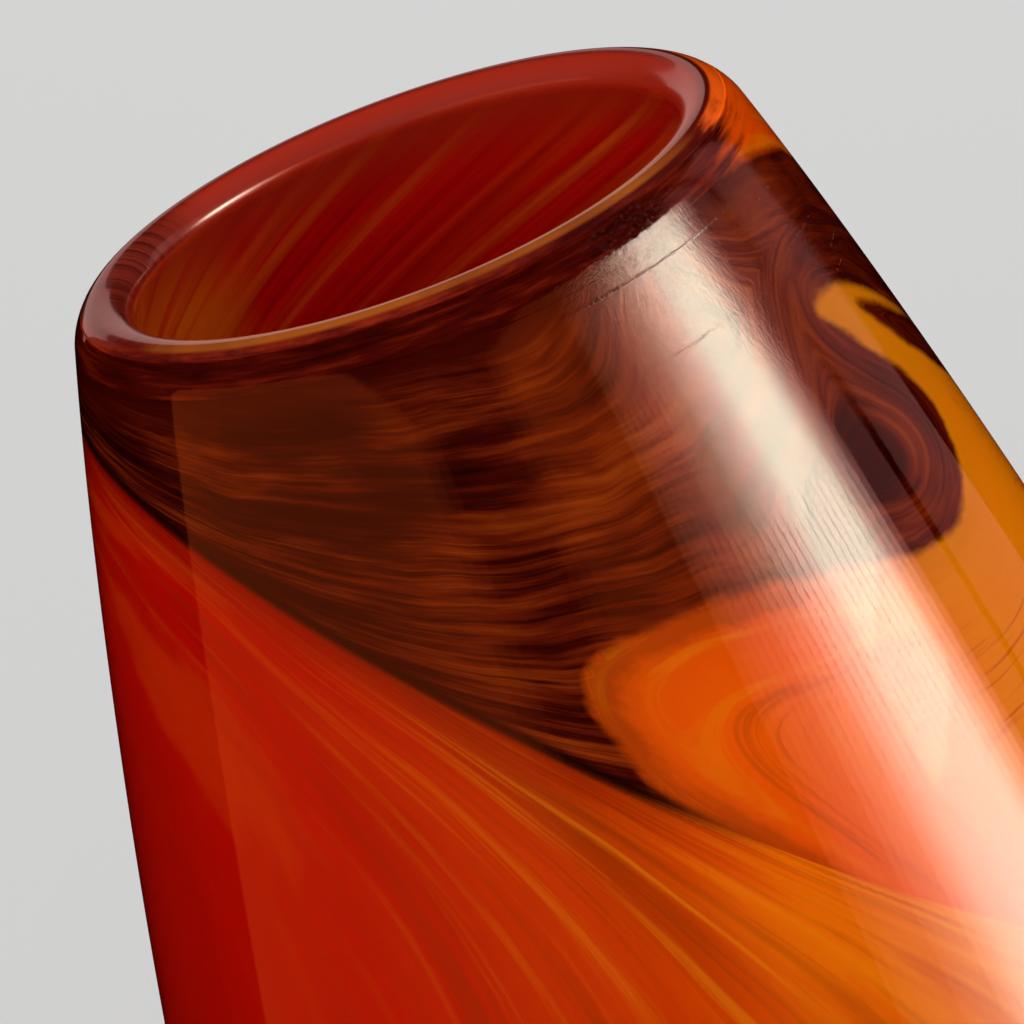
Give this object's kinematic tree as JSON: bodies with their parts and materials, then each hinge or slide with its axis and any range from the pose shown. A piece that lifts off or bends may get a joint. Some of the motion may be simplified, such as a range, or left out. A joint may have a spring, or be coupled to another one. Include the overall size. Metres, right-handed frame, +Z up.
{
  "type": "hand blown art glass vase",
  "caption": "Thick-walled cased-glass vase: narrow rounded mouth, wall widening steadily to a low belly, streaked brown neck band over an orange-red body, ground flat foot.",
  "frame": {"origin": "centre of the ground resting face under the foot", "axes": "+Z up along the vase's axis of revolution; -Y faces the viewer; the neck band's slanted edge is highest at -X"},
  "size_m": [0.1624, 0.1624, 0.24],
  "materials": {
    "lining_glass": "cherry red glass with amber streaks, fire polished",
    "lip_glass": "dark red glass, fire polished",
    "neck_glass": "brown glass with orange streaks and swirls",
    "body_glass": "red to orange glass with olive streaks",
    "casing_glass": "clear polished glass with fine handling scratches"
  },
  "bodies": {
    "root": {"inner_lining": "lining_glass", "body_overlay": "body_glass", "neck_overlay": "neck_glass", "clear_casing": "casing_glass", "lip_wrap": "lip_glass"}
  },
  "joints": []
}
